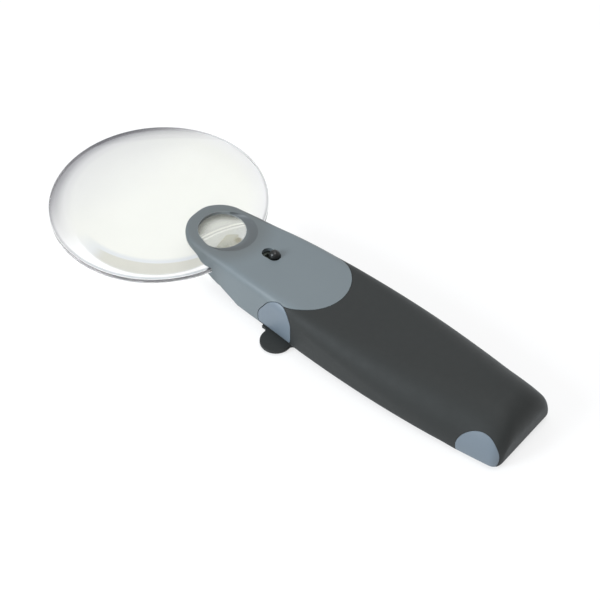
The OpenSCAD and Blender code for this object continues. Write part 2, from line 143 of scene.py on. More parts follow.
def loft(name, xs, o, m=12):
    rings = [ring(x, o, m) for x in xs]
    n, k = len(rings[0]), len(rings)
    verts = [p for r in rings for p in r]
    faces = [tuple(range(n)), tuple((k - 1) * n + j for j in range(n - 1, -1, -1))]
    for i in range(k - 1):
        for j in range(n):
            a, b = i * n + j, i * n + (j + 1) % n
            faces += [(a, a + n, b + n, b)]
    ob = mesh_from(name, verts, faces)
    bm = bmesh.new()
    bm.from_mesh(ob.data)
    bmesh.ops.remove_doubles(bm, verts=bm.verts, dist=1e-5)
    bmesh.ops.recalc_face_normals(bm, faces=bm.faces)
    bm.to_mesh(ob.data)
    bm.free()
    return ob


def stations(lo, fine):
    xs = []
    if lo < 30:
        xs += [TIP_X + s for s in (0.03, 0.12, 0.3, 0.55, 0.85, 1.2, 1.6, 2.1, 2.7, 3.4, 4.2, 5.2, 6.4, 7.8, 9.4, 11.2)]
        xs += [32.1, TIP_C, 34.4, 35.4, 36.3, 37.1, 38.2, JAW_X - 0.1, JAW_X + 0.1, 40.1, 40.6, 41.2, 41.8, 42.3, 42.9, 43.6, 44.4, 46.3]
    xs += list(np.arange(max(lo, 47), 56, 1.5)) + [55.6, 58]
    xs += list(np.arange(59.5, 168, fine))
    xs += [TAIL_X - s for s in (13, 11.5, 10, 9, 8, 7, 6.1, 5.3, 4.6, 4.0, 3.5, 3.0, 2.6, 2.2)]
    if lo < 30:
        xs += [TAIL_X - s for s in (1.85, 1.5, 1.2, 0.9, 0.65, 0.45, 0.28, 0.15, 0.06, 0.0)]
    else:
        xs += [TAIL_X - 2.0]
    return sorted(set(round(float(x), 4) for x in xs))


OUTER = loft("tmp_outer", stations(0, 2.0), 0.0)
INNER = loft("tmp_inner", stations(47, 4.0), WALL, 6)

# smooth normals of the outer surface, looked up by place
_me = OUTER.data
_bv = BVHTree.FromPolygons([v.co[:] for v in _me.vertices], [p.vertices[:] for p in _me.polygons])


def surface_normals():
    """Vertex normals of the outer loft, averaged over its faces by area and angle."""
    bm = bmesh.new()
    bm.from_mesh(_me)
    bm.normal_update()
    vn = [v.normal.copy() for v in bm.verts]
    bm.free()
    return vn


_vn = surface_normals()


def surface_normal(co, idx):
    poly = _me.polygons[idx]
    vs = poly.vertices
    if len(vs) > 6:
        return poly.normal.copy()
    ws, acc = 0.0, Vector((0, 0, 0))
    pts = [_me.vertices[i].co for i in vs]
    # inverse bilinear by areas on quads, barycentric on triangles
    from mathutils.interpolate import poly_3d_calc
    w = poly_3d_calc(pts, co)
    for i, wi in zip(vs, w):
        acc += _vn[i] * wi
    return acc.normalized()


# ------------------------------------------------------------------ mm mesh helpers
def grid_cyl(name, prof, n=96, axis="z", x=0, y=0, z=0):
    """Lathe a closed profile of (r, h) about an axis through x, y, z."""
    verts, faces, rows = [], [], []
    for (r, h) in prof:
        if r < 1e-6:
            rows.append([len(verts)])
            verts.append((0, 0, h))
        else:
            rows.append(list(range(len(verts), len(verts) + n)))
            verts += [(r * math.cos(2 * math.pi * i / n), r * math.sin(2 * math.pi * i / n), h) for i in range(n)]
    k = len(rows)
    for a, b in zip(rows, rows[1:] + ([] if len(rows[0]) == 1 else [rows[0]])):
        for i in range(n):
            j = (i + 1) % n
            if len(a) == 1 and len(b) == 1:
                continue
            if len(a) == 1:
                faces.append((a[0], b[i], b[j]))
            elif len(b) == 1:
                faces.append((a[i], b[0], a[j]))
            else:
                faces.append((a[i], b[i], b[j], a[j]))
    R = {"z": Matrix.Identity(4), "y": Matrix.Rotation(math.radians(-90), 4, "X"), "x": Matrix.Rotation(math.radians(90), 4, "Y")}[axis]
    ob = mesh_from(name, verts, faces)
    ob.data.transform(Matrix.Translation((x, y, z)) @ R)
    fix(ob)
    return ob


def fix(ob):
    bm = bmesh.new()
    bm.from_mesh(ob.data)
    bmesh.ops.remove_doubles(bm, verts=bm.verts, dist=1e-6)
    bmesh.ops.recalc_face_normals(bm, faces=bm.faces)
    bm.to_mesh(ob.data)
    bm.free()
    return ob


def cyl(x, y, z0, z1, r, n=64, axis="z"):
    """Solid cylinder. axis z: base at z0..z1. axis y: centre line through (x, z=y), from y z0..z1."""
    prof = [(0, 0), (r, 0), (r, z1 - z0), (0, z1 - z0)]
    if axis == "z":
        return grid_cyl("tmp", prof, n, "z", x, y, z0)
    if axis == "y":
        return grid_cyl("tmp", prof, n, "y", x, z0, y)
    return grid_cyl("tmp", prof, n, "x", z0, x, y)


def box(x0, x1, y0, y1, z0, z1):
    v = [(x, y, z) for x in (x0, x1) for y in (y0, y1) for z in (z0, z1)]
    f = [(0, 1, 3, 2), (4, 6, 7, 5), (0, 4, 5, 1), (2, 3, 7, 6), (0, 2, 6, 4), (1, 5, 7, 3)]
    return fix(mesh_from("tmp", v, f))


def prism(pts, y0, y1, axis="y"):
    """Extrude a closed outline. axis y: outline in (x, z). axis z: outline in (x, y)."""
    n = len(pts)
    if axis == "y":
        v = [(p[0], y0, p[1]) for p in pts] + [(p[0], y1, p[1]) for p in pts]
    else:
        v = [(p[0], p[1], y0) for p in pts] + [(p[0], p[1], y1) for p in pts]
    f = [tuple(range(n)), tuple(range(2 * n - 1, n - 1, -1))] + [(i, (i + 1) % n, n + (i + 1) % n, n + i) for i in range(n)]
    return fix(mesh_from("tmp", v, f))


def boolean(a, b, op):
    """a op b as one new mesh on a; b may be a list. Everything used up is removed."""
    for t in (b if isinstance(b, (list, tuple)) else [b]):
        md = a.modifiers.new("b", "BOOLEAN")
        md.operation = op
        md.solver = "MANIFOLD"
        md.object = t
        dg = bpy.context.evaluated_depsgraph_get()
        me = bpy.data.meshes.new_from_object(a.evaluated_get(dg))
        a.modifiers.clear()
        old = a.data
        a.data = me
        bpy.data.meshes.remove(old)
        bpy.data.objects.remove(t, do_unlink=True)
    return a


def minus(a, *b):
    return boolean(a, list(b), "DIFFERENCE")


def plus(a, *b):
    return boolean(a, list(b), "UNION")


def common(a, *b):
    return boolean(a, list(b), "INTERSECT")


def copy(ob):
    c = bpy.data.objects.new("tmp", ob.data.copy())
    scene.collection.objects.link(c)
    return c


def outer():
    return copy(OUTER)


def inner():
    return copy(INNER)


def egg_outline(g, n=48):
    xa, ya, ra, xb, yb, rb = 76.5, -7.0, 8.8 + g, 78.3, -0.9, 7 + g
    d = math.hypot(xb - xa, yb - ya)
    t = math.atan2(yb - ya, xb - xa)
    k = math.acos((ra - rb) / d)
    pts = [(xb + rb * math.cos(t + a), yb + rb * math.sin(t + a)) for a in np.linspace(-k, k, n)]
    pts += [(xa + ra * math.cos(t + a), ya + ra * math.sin(t + a)) for a in np.linspace(k, 2 * math.pi - k, 2 * n)]
    return pts


def inlay_shape(g, y0, y1):
    return prism(egg_outline(g), y0, y1)


def tail_shape(g, y0, y1):
    return cyl(172.6, -7.9, y0, y1, 8.5 + g, 128, "y")


def lens_profile(d, edge, R, grow=0.0, rings=24, bevel=0.25):
    """Upper face of the large lens's half section, from its middle out, with its radius and sag."""
    rr = d / 2

    def sag(r):
        return math.sqrt(R * R - r * r) - math.sqrt(R * R - rr * rr)

    top = [(rr * i / rings, edge / 2 + grow + sag(rr * i / rings)) for i in range(rings + 1)]
    return top, rr, sag


def biconvex(grow=0.12, n=160):
    top, rr, sag = lens_profile(LENS_D, LENS_EDGE, LENS_R, grow, 12)
    prof = top + [(rr + grow, LENS_EDGE / 2 + grow), (rr + grow, -LENS_EDGE / 2 - grow)] + [(r, -z) for r, z in reversed(top)]
    return grid_cyl("tmp", prof, n)


def finish_piece(ob, name, body, nodes, mat, smooth=38, follow=True, sub=0):
    """Name the piece, shade it, take it to the row frame and hang it on its body."""
    ob.name = name
    me = ob.data
    me.name = name
    bm = bmesh.new()
    bm.from_mesh(me)
    bmesh.ops.remove_doubles(bm, verts=bm.verts, dist=2e-4)
    bmesh.ops.dissolve_degenerate(bm, edges=bm.edges, dist=1e-4)
    bm.to_mesh(me)
    bm.free()
    me.shade_smooth()
    me.set_sharp_from_angle(angle=math.radians(smooth))
    if follow:
        base = [None] * len(me.loops)
        cn = [c.vector.copy() for c in me.corner_normals]
        cache = {}
        for p in me.polygons:
            c = p.center
            loc, nor, idx, dist = _bv.find_nearest(c)
            if loc is None or dist > 0.03 or abs(nor.dot(p.normal)) < 0.9 or nor.dot(p.normal) < 0:
                continue
            for li in p.loop_indices:
                vi = me.loops[li].vertex_index
                if vi not in cache:
                    co = me.vertices[vi].co
                    l2, n2, i2, d2 = _bv.find_nearest(co)
                    cache[vi] = surface_normal(l2, i2) if d2 < 0.03 else None
                sn = cache[vi]
                if sn is not None and sn.dot(p.normal) > 0.55:
                    cn[li] = sn
        me.normals_split_custom_set([tuple(v) for v in cn])
    me.transform(TO_ROW)
    me.update()
    me.materials.clear()
    me.materials.append(mat)
    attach(ob, body)
    if nodes:
        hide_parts(*nodes)
    return ob


# ------------------------------------------------------------------ materials
def socket(node, *names):
    for n in names:
        if n in node.inputs:
            return node.inputs[n]
    raise KeyError(names)


def material(name, color, rough=0.5, metallic=0.0, spec=0.5, grain=None, bump=0.0, var=0.0, rough_var=0.0,
             sheen=0.0, sheen_tint=None, coat=0.0, coat_rough=0.2, transmission=0.0, ior=1.5, edge=0.0, edge_gain=0.0,
             var_scale=60.0, alpha=None):
    """One procedural plastic, metal or clear finish. grain is the bump noise's scale per metre."""
    m = bpy.data.materials.new(name)
    m.use_nodes = True
    nt = m.node_tree
    nt.nodes.clear()
    out = nt.nodes.new("ShaderNodeOutputMaterial")
    b = nt.nodes.new("ShaderNodeBsdfPrincipled")
    nt.links.new(b.outputs[0], out.inputs["Surface"])
    b.inputs["Base Color"].default_value = (*color, 1)
    b.inputs["Roughness"].default_value = rough
    b.inputs["Metallic"].default_value = metallic
    b.inputs["Specular IOR Level"].default_value = spec
    b.inputs["IOR"].default_value = ior
    b.inputs["Transmission Weight"].default_value = transmission
    b.inputs["Coat Weight"].default_value = coat
    b.inputs["Coat Roughness"].default_value = coat_rough
    b.inputs["Sheen Weight"].default_value = sheen
    b.inputs["Sheen Roughness"].default_value = 0.45
    if sheen_tint:
        b.inputs["Sheen Tint"].default_value = (*sheen_tint, 1)
    tc = nt.nodes.new("ShaderNodeTexCoord")
    normal = None
    if edge:
        bv = nt.nodes.new("ShaderNodeBevel")
        bv.samples = 4
        bv.inputs["Radius"].default_value = edge
        normal = bv.outputs[0]
    if grain and bump:
        n1 = nt.nodes.new("ShaderNodeTexNoise")
        n1.inputs["Scale"].default_value = grain
        n1.inputs["Detail"].default_value = 3.0
        n1.inputs["Roughness"].default_value = 0.6
        nt.links.new(tc.outputs["Object"], n1.inputs["Vector"])
        bp = nt.nodes.new("ShaderNodeBump")
        bp.inputs["Strength"].default_value = bump
        bp.inputs["Distance"].default_value = 0.00006
        nt.links.new(n1.outputs["Fac"], bp.inputs["Height"])
        if normal:
            nt.links.new(normal, bp.inputs["Normal"])
        normal = bp.outputs[0]
    if normal:
        nt.links.new(normal, b.inputs["Normal"])
    if var or rough_var:
        n2 = nt.nodes.new("ShaderNodeTexNoise")
        n2.inputs["Scale"].default_value = var_scale
        n2.inputs["Detail"].default_value = 4.0
        nt.links.new(tc.outputs["Object"], n2.inputs["Vector"])
        if var:
            mr = nt.nodes.new("ShaderNodeMapRange")
            mr.inputs["To Min"].default_value = 1 - var
            mr.inputs["To Max"].default_value = 1 + var
            nt.links.new(n2.outputs["Fac"], mr.inputs["Value"])
            hs = nt.nodes.new("ShaderNodeHueSaturation")
            hs.inputs["Color"].default_value = (*color, 1)
            nt.links.new(mr.outputs[0], hs.inputs["Value"])
            nt.links.new(hs.outputs[0], b.inputs["Base Color"])
        if rough_var:
            mr = nt.nodes.new("ShaderNodeMapRange")
            mr.inputs["To Min"].default_value = max(0.02, rough - rough_var)
            mr.inputs["To Max"].default_value = min(1, rough + rough_var)
            n3 = nt.nodes.new("ShaderNodeTexNoise")
            n3.inputs["Scale"].default_value = var_scale * 6
            n3.inputs["Detail"].default_value = 5.0
            nt.links.new(tc.outputs["Object"], n3.inputs["Vector"])
            nt.links.new(n3.outputs["Fac"], mr.inputs["Value"])
            nt.links.new(mr.outputs[0], b.inputs["Roughness"])
    return m


def srgb(r, g, b):
    def f(c):
        c /= 255.0
        return c / 12.92 if c <= 0.04045 else ((c + 0.055) / 1.055) ** 2.4
    return (f(r), f(g), f(b))


def paint_shade_and_light(m, cu, cv, r0, r1, tint, slope=0.0, blend="MULTIPLY"):
    """Paint shade (a darker tint, multiplied in) and light (a lighter tint, mixed in) into a material's colour close to
    (cu, cv), easing off between radii r0 and r1.
    """
    nt = m.node_tree
    b = next(n for n in nt.nodes if n.type == "BSDF_PRINCIPLED")
    tc = next(n for n in nt.nodes if n.type == "TEX_COORD")
    src = b.inputs["Base Color"].links[0].from_socket
    fl = nt.nodes.new("ShaderNodeVectorMath")
    fl.operation = "MULTIPLY"
    fl.inputs[1].default_value = (1, 1, 0)
    nt.links.new(tc.outputs["Object"], fl.inputs[0])
    d = nt.nodes.new("ShaderNodeVectorMath")
    d.operation = "DISTANCE"
    d.inputs[1].default_value = ((cu - 68.5) / 1000, cv / 1000, 0)
    nt.links.new(fl.outputs[0], d.inputs[0])
    mr = nt.nodes.new("ShaderNodeMapRange")
    mr.interpolation_type = "SMOOTHSTEP"
    mr.inputs["From Min"].default_value = r0 / 1000
    mr.inputs["From Max"].default_value = r1 / 1000
    mr.inputs["To Min"].default_value = 1.0
    mr.inputs["To Max"].default_value = 0.0
    nt.links.new(d.outputs["Value"], mr.inputs["Value"])
    fac = mr.outputs[0]
    if slope:
        # painted shade only on faces that slope more than about ten degrees from flat
        sp = nt.nodes.new("ShaderNodeSeparateXYZ")
        nt.links.new(tc.outputs["Normal"], sp.inputs[0])
        s1 = nt.nodes.new("ShaderNodeMapRange")
        s1.interpolation_type = "SMOOTHSTEP"
        s1.inputs["From Min"].default_value = 0.985
        s1.inputs["From Max"].default_value = slope
        nt.links.new(sp.outputs["Z"], s1.inputs["Value"])
        mu = nt.nodes.new("ShaderNodeMath")
        mu.operation = "MULTIPLY"
        nt.links.new(fac, mu.inputs[0])
        nt.links.new(s1.outputs[0], mu.inputs[1])
        fac = mu.outputs[0]
    mx = nt.nodes.new("ShaderNodeMix")
    mx.data_type = "RGBA"
    mx.blend_type = blend
    nt.links.new(fac, mx.inputs[0])
    nt.links.new(src, mx.inputs[6])
    mx.inputs[7].default_value = (*tint, 1)
    nt.links.new(mx.outputs[2], b.inputs["Base Color"])


M_HEAD = material("m_head_grey", srgb(110, 119, 123), rough=0.46, spec=0.42, grain=5200, bump=0.16, var=0.035, rough_var=0.05, edge=0.00022)
# painted shade: the head's grey is darkened round the eye, where shade falls into the recess
paint_shade_and_light(M_HEAD, 36.0, 0.5, 12.5, 22.5, (0.80, 0.77, 0.74))
# painted shade on the scoop's sloping walls on the tail and far side
paint_shade_and_light(M_HEAD, 42.0, 4.5, 10.5, 13.5, (0.80, 0.77, 0.77), slope=0.955)
# painted light: the seat wall of the small lens, which lies in shade, is mixed to a lighter grey than the head
paint_shade_and_light(M_HEAD, SPOT_X, 0.0, 9.70, 9.80, (0.27, 0.29, 0.295), blend="MIX")  # the wall of the small lens's seat
M_INLAY = material("m_inlay_grey", srgb(111, 122, 132), rough=0.44, spec=0.42, grain=5200, bump=0.14, var=0.03, rough_var=0.05, edge=0.0002)
M_SOFT = material("m_soft_black", srgb(40, 42, 41), rough=0.62, spec=0.32, grain=6800, bump=0.20, var=0.05, rough_var=0.06,
                  sheen=0.10, sheen_tint=(0.72, 0.82, 0.9), edge=0.00022)
M_TAB = M_SOFT
M_KNOB = material("m_knob_black", srgb(22, 23, 23), rough=0.36, spec=0.5, grain=2600, bump=0.03, var=0.05, rough_var=0.05)
M_INNER = material("m_inner_black", srgb(38, 39, 38), rough=0.5, spec=0.4, grain=3800, bump=0.12, var=0.06, rough_var=0.08, edge=0.0001)
# painted light: the switch body, seen in shade at the slot's floor, is a lighter copy of the inner black
M_SWITCH_LIGHTENED = material("m_switch_body_painted_light", srgb(88, 94, 88), rough=0.5, spec=0.35, grain=3800, bump=0.12, var=0.06, rough_var=0.08, edge=0.0001)
M_STEEL = material("m_steel", (0.66, 0.67, 0.68), rough=0.27, metallic=1.0, grain=9000, bump=0.08, var=0.04, rough_var=0.1, var_scale=400)
M_BOARD = material("m_board_green", (0.02, 0.16, 0.075), rough=0.36, coat=0.4, coat_rough=0.15, grain=2200, bump=0.12, var=0.12, rough_var=0.08, var_scale=300)
M_RES = material("m_resistor", (0.60, 0.47, 0.28), rough=0.3, coat=0.5, grain=3000, bump=0.05, var=0.08, rough_var=0.06)
M_WIRE = material("m_wire_red", (0.55, 0.022, 0.016), rough=0.42, grain=3500, bump=0.08, var=0.06, rough_var=0.08)
M_LED = material("m_led_epoxy", (0.86, 0.85, 0.70), rough=0.1, coat=0.6, coat_rough=0.05, grain=1200, bump=0.02, var=0.04, rough_var=0.04)
M_WINDOW = material("m_led_window", (0.96, 0.98, 1.0), rough=0.06, transmission=1.0, ior=1.49, grain=1500, bump=0.01)


def clear_material(name, rough=0.0, rim=False, straight=True):
    """Clear acrylic with painted shade and light in its tint. Painted shade deepens towards the moulded rim, most at
    the end away from the handle, and near the handle a painted shadow crescent and a painted bright arc stand in for
    the lens's shadow and bent light on the floor below."""
    m = material(name, (0.78, 0.785, 0.745), rough=rough, transmission=1.0, ior=1.08 if straight else 1.49, spec=0.5)
    nt = m.node_tree
    b = next(n for n in nt.nodes if n.type == "BSDF_PRINCIPLED")
    # the coat keeps the gloss of acrylic, while the weak bending keeps low views through the lens clear
    b.inputs["Coat Weight"].default_value = 1.0 if straight else 0.0
    b.inputs["Coat Roughness"].default_value = rough
    b.inputs["Coat IOR"].default_value = 1.49
    tc = next(n for n in nt.nodes if n.type == "TEX_COORD")

    def math_(op, a, c=None, clamp=False):
        n = nt.nodes.new("ShaderNodeMath")
        n.operation = op
        n.use_clamp = clamp
        for i, x in enumerate((a, c)):
            if x is None:
                continue
            if isinstance(x, (int, float)):
                n.inputs[i].default_value = x
            else:
                nt.links.new(x, n.inputs[i])
        return n.outputs[0]

    flat = nt.nodes.new("ShaderNodeVectorMath")
    flat.operation = "MULTIPLY"
    flat.inputs[1].default_value = (1, 1, 0)
    nt.links.new(tc.outputs["Object"], flat.inputs[0])

    def dist(u, v):
        n = nt.nodes.new("ShaderNodeVectorMath")
        n.operation = "DISTANCE"
        n.inputs[1].default_value = ((u - 68.5) / 1000, v / 1000, 0)
        nt.links.new(flat.outputs[0], n.inputs[0])
        return math_("MULTIPLY", n.outputs["Value"], 1000.0)

    def ramp(x, lo, hi):
        n = nt.nodes.new("ShaderNodeMapRange")
        n.interpolation_type = "SMOOTHSTEP"
        n.inputs["From Min"].default_value = lo
        n.inputs["From Max"].default_value = hi
        nt.links.new(x, n.inputs["Value"])
        return n.outputs[0]

    def toward(deg):
        """Cosine of the angle from the direction deg, seen from the lens's middle."""
        off = nt.nodes.new("ShaderNodeVectorMath")
        off.operation = "SUBTRACT"
        off.inputs[1].default_value = (-0.0685, 0, 0)
        nt.links.new(flat.outputs[0], off.inputs[0])
        nn = nt.nodes.new("ShaderNodeVectorMath")
        nn.operation = "NORMALIZE"
        nt.links.new(off.outputs[0], nn.inputs[0])
        dt = nt.nodes.new("ShaderNodeVectorMath")
        dt.operation = "DOT_PRODUCT"
        dt.inputs[1].default_value = (math.cos(math.radians(deg)), math.sin(math.radians(deg)), 0)
        nt.links.new(nn.outputs[0], dt.inputs[0])
        return dt.outputs["Value"]

    def stops(x, table):
        n = nt.nodes.new("ShaderNodeValToRGB")
        e = n.color_ramp.elements
        while len(e) < len(table):
            e.new(0.5)
        for q, (pos, col) in zip(e, table):
            q.position = pos
            q.color = (*col, 1)
        nt.links.new(x, n.inputs[0])
        return n.outputs[0]

    def mix(col_in, col, fac):
        n = nt.nodes.new("ShaderNodeMix")
        n.data_type = "RGBA"
        nt.links.new(fac, n.inputs[0])
        nt.links.new(col_in, n.inputs[6])
        if isinstance(col, tuple):
            n.inputs[7].default_value = col
        else:
            nt.links.new(col, n.inputs[7])
        return n.outputs[2]

    def upper_only(c, z_lo, z_hi):
        """The whole tint lies on the upper face (squared, as light meets it once); the lower face stays clear."""
        sq = nt.nodes.new("ShaderNodeMix")
        sq.data_type = "RGBA"
        sq.blend_type = "MULTIPLY"
        sq.inputs[0].default_value = 1.0
        nt.links.new(c, sq.inputs[6])
        nt.links.new(c, sq.inputs[7])
        sp = nt.nodes.new("ShaderNodeSeparateXYZ")
        nt.links.new(tc.outputs["Object"], sp.inputs[0])
        n = nt.nodes.new("ShaderNodeMix")
        n.data_type = "RGBA"
        nt.links.new(ramp(sp.outputs["Z"], z_lo, z_hi), n.inputs[0])
        n.inputs[6].default_value = (1, 1, 1, 1)
        nt.links.new(sq.outputs[2], n.inputs[7])
        return n.outputs[2]

    k = math_("DIVIDE", dist(0, 0), LENS_D / 2)
    mid, soft = (0.80, 0.805, 0.765), (0.745, 0.75, 0.735)
    # painted shade: on the open side the faces' tint darkens in a thin band at the very rim
    open_side = stops(k, [(0.0, mid), (0.80, mid), (0.94, (0.80, 0.80, 0.79)), (0.97, (0.80, 0.80, 0.80)),
                          (0.985, (0.60, 0.60, 0.61)), (1.0, (0.50, 0.50, 0.51))])
    if rim:
        open_side = stops(k, [(0.0, (0.96, 0.96, 0.965)), (1.0, (0.96, 0.96, 0.965))])
    # painted shadow: towards the rim at the end away from the handle the tint greys in a broad band, the rim's shadow
    # on the floor seen through the lens
    far_rim_shade = stops(k, [(0.0, mid), (0.50, (0.765, 0.77, 0.745)), (0.78, soft), (0.86, (0.67, 0.67, 0.675)),
                         (0.90, (0.53, 0.53, 0.54)), (0.93, (0.40, 0.40, 0.415)), (0.955, (0.34, 0.335, 0.355)),
                         (0.98, (0.25, 0.245, 0.26)), (1.0, (0.34, 0.34, 0.355))])
    c = mix(open_side, far_rim_shade, ramp(toward(177), 0.2, 0.97))
    if not rim:
        mask = ramp(toward(314), 0.70, 0.83)
        inner = dist(0.7, 1.7)
        # painted shade: a bluish grey band inside the rim on the side towards the handle
        blue_shade_band = math_("MULTIPLY", math_("MULTIPLY", ramp(inner, 35.4, 37.6), ramp(toward(314), 0.45, 0.85)), 0.7)
        c = mix(c, (0.64, 0.67, 0.71, 1), blue_shade_band)
        # painted shadow: body marks a beige crescent near the rim, standing in for the lens's shadow on the floor seen
        # through it
        body = math_("MULTIPLY", ramp(inner, 37.9, 38.5), math_("SUBTRACT", 1.0, ramp(dist(5.3, -5.4), 34.6, 35.8)))
        # painted light: clear lifts the tint to white in an arc between the crescent and the rim, the light the lens
        # bends onto the floor
        clear = math_("MULTIPLY", math_("MULTIPLY", ramp(inner, 38.0, 39.0), ramp(dist(5.3, -5.4), 34.6, 35.8)),
                      math_("MULTIPLY", ramp(toward(305), 0.55, 0.85), math_("SUBTRACT", 1.0, ramp(k, 0.968, 0.984))))
        c = mix(c, (1.0, 1.0, 1.0, 1), clear)
        c = mix(c, (0.63, 0.625, 0.57, 1), math_("MULTIPLY", body, mask))
        c = upper_only(c, 0.0122, 0.0126)
    nt.links.new(c, b.inputs["Base Color"])
    return m


M_LENS = clear_material("m_lens_acrylic")
M_RIM = clear_material("m_lens_rim", rough=0.14, rim=True, straight=False)
M_RIM_FAR = clear_material("m_far_lens_rim", rough=0.14, rim=True)


def spot_material():
    """Clear acrylic of the strong lens with painted shade and reflections in its tint: painted grey shade towards its
    far edge, painted drawn-out reflections, a painted warm patch and spot near the tail.
    """
    m = material("m_spot_acrylic", (0.72, 0.72, 0.70), rough=0.0, transmission=1.0, ior=1.49, spec=0.5)
    nt = m.node_tree
    b = next(n for n in nt.nodes if n.type == "BSDF_PRINCIPLED")
    tc = next(n for n in nt.nodes if n.type == "TEX_COORD")

    def op(kind, *xs, clamp=False):
        n = nt.nodes.new("ShaderNodeMath")
        n.operation = kind
        n.use_clamp = clamp
        for i, x in enumerate(xs):
            if isinstance(x, (int, float)):
                n.inputs[i].default_value = x
            else:
                nt.links.new(x, n.inputs[i])
        return n.outputs[0]

    off = nt.nodes.new("ShaderNodeVectorMath")
    off.operation = "SUBTRACT"
    off.inputs[1].default_value = ((SPOT_X - 68.5) / 1000, 0, 0)
    nt.links.new(tc.outputs["Object"], off.inputs[0])
    sep = nt.nodes.new("ShaderNodeSeparateXYZ")
    nt.links.new(off.outputs[0], sep.inputs[0])
    # p runs across the lens from its near left to its far right, q from the tail to the tip
    p = op("ADD", op("MULTIPLY", sep.outputs["X"], 78.0), op("MULTIPLY", sep.outputs["Y"], 61.0))
    q = op("ADD", op("MULTIPLY", sep.outputs["X"], -84.0), op("MULTIPLY", sep.outputs["Y"], 78.0))
    k = op("SQRT", op("ADD", op("MULTIPLY", p, p), op("MULTIPLY", q, q)))
    nz = nt.nodes.new("ShaderNodeTexNoise")
    nz.inputs["Scale"].default_value = 160.0
    nz.inputs["Detail"].default_value = 2.0
    nt.links.new(off.outputs[0], nz.inputs["Vector"])
    wob = op("MULTIPLY", op("SUBTRACT", nz.outputs["Fac"], 0.5), 0.10)

    def smooth(x, lo, hi):
        n = nt.nodes.new("ShaderNodeMapRange")
        n.interpolation_type = "SMOOTHSTEP"
        n.inputs["From Min"].default_value = lo
        n.inputs["From Max"].default_value = hi
        nt.links.new(x, n.inputs["Value"])
        return n.outputs[0]

    def bump(x, at_, w):
        d = op("ABSOLUTE", op("SUBTRACT", x, at_))
        return op("SUBTRACT", 1.0, smooth(d, 0.0, w))

    def mix(a, col, fac):
        n = nt.nodes.new("ShaderNodeMix")
        n.data_type = "RGBA"
        nt.links.new(fac, n.inputs[0])
        if isinstance(a, tuple):
            n.inputs[6].default_value = a
        else:
            nt.links.new(a, n.inputs[6])
        n.inputs[7].default_value = col
        return n.outputs[2]

    # painted shade: the tint greys towards the lens's far edge, on the tip's side
    lean = smooth(op("SUBTRACT", op("MULTIPLY", q, 0.8), op("MULTIPLY", p, 0.6)), -0.15, 0.55)
    edge = op("MULTIPLY", smooth(k, 0.36, 1.02), lean)
    c = mix((0.74, 0.745, 0.725, 1), (0.27, 0.275, 0.26, 1), edge)
    # painted reflections: drawn-out light and dark streaks across the lens
    line = op("ADD", op("SUBTRACT", q, op("MULTIPLY", p, 0.45)), wob)
    inside = op("SUBTRACT", 1.0, smooth(k, 0.86, 1.0))
    for at_, w, col, f in ((0.16, 0.10, (0.66, 0.66, 0.65, 1), 0.7), (0.02, 0.075, (0.96, 0.96, 0.93, 1), 0.9),
                           (-0.08, 0.05, (0.60, 0.60, 0.57, 1), 0.7), (-0.18, 0.07, (0.97, 0.97, 0.96, 1), 0.85)):
        c = mix(c, col, op("MULTIPLY", op("MULTIPLY", bump(line, at_, w), inside), f))
    # painted reflection: a warm tan patch on the near side towards the tail
    patch = op("MULTIPLY", smooth(op("SUBTRACT", p, op("ADD", op("MULTIPLY", q, 0.64), 0.42)), 0.0, 0.05),
               smooth(op("MULTIPLY", q, -1.0), 0.34, 0.42))
    patch = op("MULTIPLY", patch, op("SUBTRACT", 1.0, smooth(p, 0.62, 0.72)))
    c = mix(c, (0.60, 0.59, 0.50, 1), op("MULTIPLY", patch, 0.9))
    # painted reflection: a dark warm spot near the tail edge
    spot = nt.nodes.new("ShaderNodeMath")
    spot.operation = "SQRT"
    nt.links.new(op("ADD", op("POWER", op("ABSOLUTE", op("SUBTRACT", p, 0.66)), 2.0),
                    op("POWER", op("ABSOLUTE", op("ADD", q, 0.70)), 2.0)), spot.inputs[0])
    c = mix(c, (0.40, 0.365, 0.25, 1), op("MULTIPLY", op("SUBTRACT", 1.0, smooth(spot.outputs[0], 0.06, 0.22)), 0.85))
    sq = nt.nodes.new("ShaderNodeMix")
    sq.data_type = "RGBA"
    sq.blend_type = "MULTIPLY"
    sq.inputs[0].default_value = 1.0
    nt.links.new(c, sq.inputs[6])
    nt.links.new(c, sq.inputs[7])
    up = nt.nodes.new("ShaderNodeMix")
    up.data_type = "RGBA"
    nt.links.new(smooth(sep.outputs["Z"], (SPOT_Z + 12.5 + 0.2) / 1000, (SPOT_Z + 12.5 + 0.8) / 1000), up.inputs[0])
    up.inputs[6].default_value = (1, 1, 1, 1)
    nt.links.new(sq.outputs[2], up.inputs[7])
    nt.links.new(up.outputs[2], b.inputs["Base Color"])
    return m


M_SPOT = spot_material()


